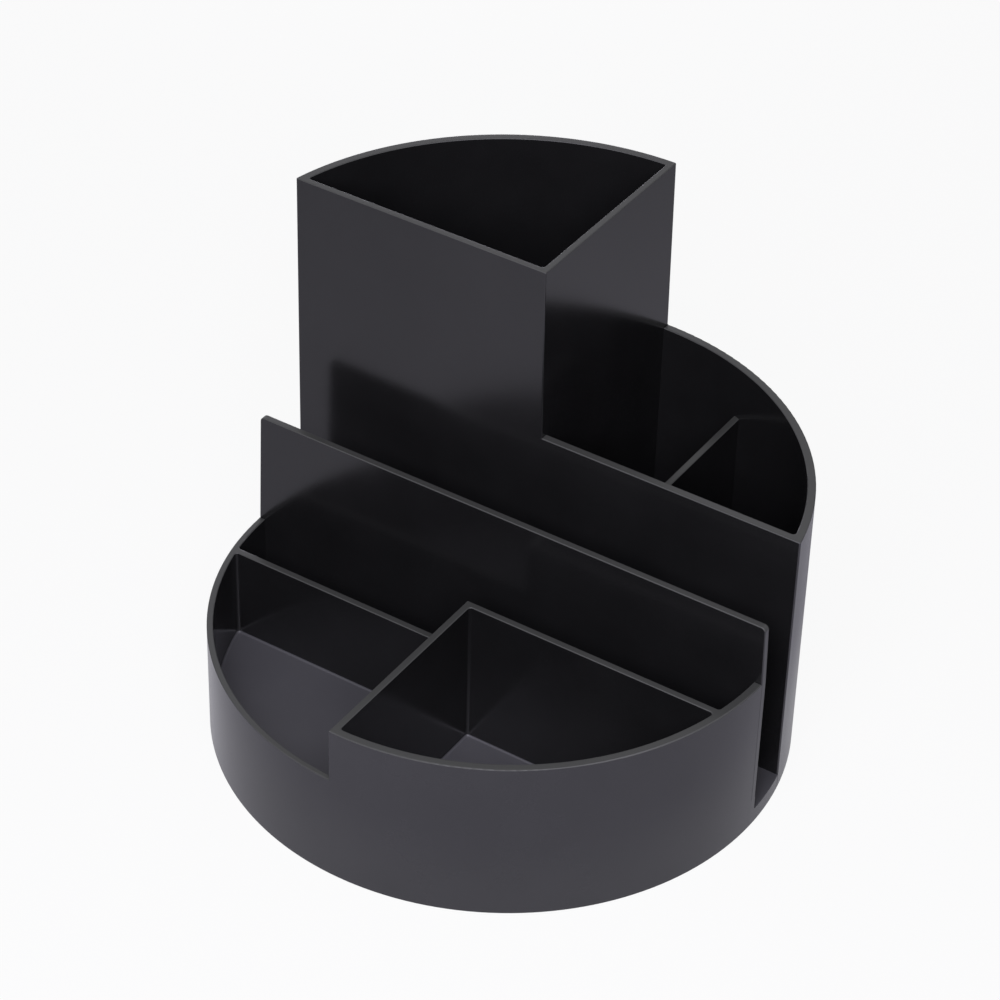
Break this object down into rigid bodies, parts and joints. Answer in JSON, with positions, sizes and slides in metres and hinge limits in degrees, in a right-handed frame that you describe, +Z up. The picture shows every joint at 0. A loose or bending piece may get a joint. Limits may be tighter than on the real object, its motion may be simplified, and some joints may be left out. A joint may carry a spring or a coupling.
{
  "type": "pen holder",
  "caption": "Round stepped desk organiser with a tall quarter pen cup, a divided rear tray, a letter slot behind a free-standing panel, a narrow channel and low front trays.",
  "frame": {"origin": "centre of the round base, on the surface that the pads stand on", "axes": "+Z up, +X to the right seen from the front, +Y to the back where the pen cup stands; the straight walls run along X and Y"},
  "size_m": [0.14, 0.14, 0.119],
  "materials": {
    "body_plastic": "black moulded polystyrene, semi-gloss",
    "pad_rubber": "matt black anti-slip rubber"
  },
  "bodies": {
    "root": {"pen_cup": "body_plastic", "rear_tray": "body_plastic", "rear_divider": "body_plastic", "letter_rack": "body_plastic", "left_tray": "body_plastic", "right_tray": "body_plastic", "foot_pad_1": "pad_rubber", "foot_pad_2": "pad_rubber", "foot_pad_3": "pad_rubber", "foot_pad_4": "pad_rubber"}
  },
  "joints": []
}
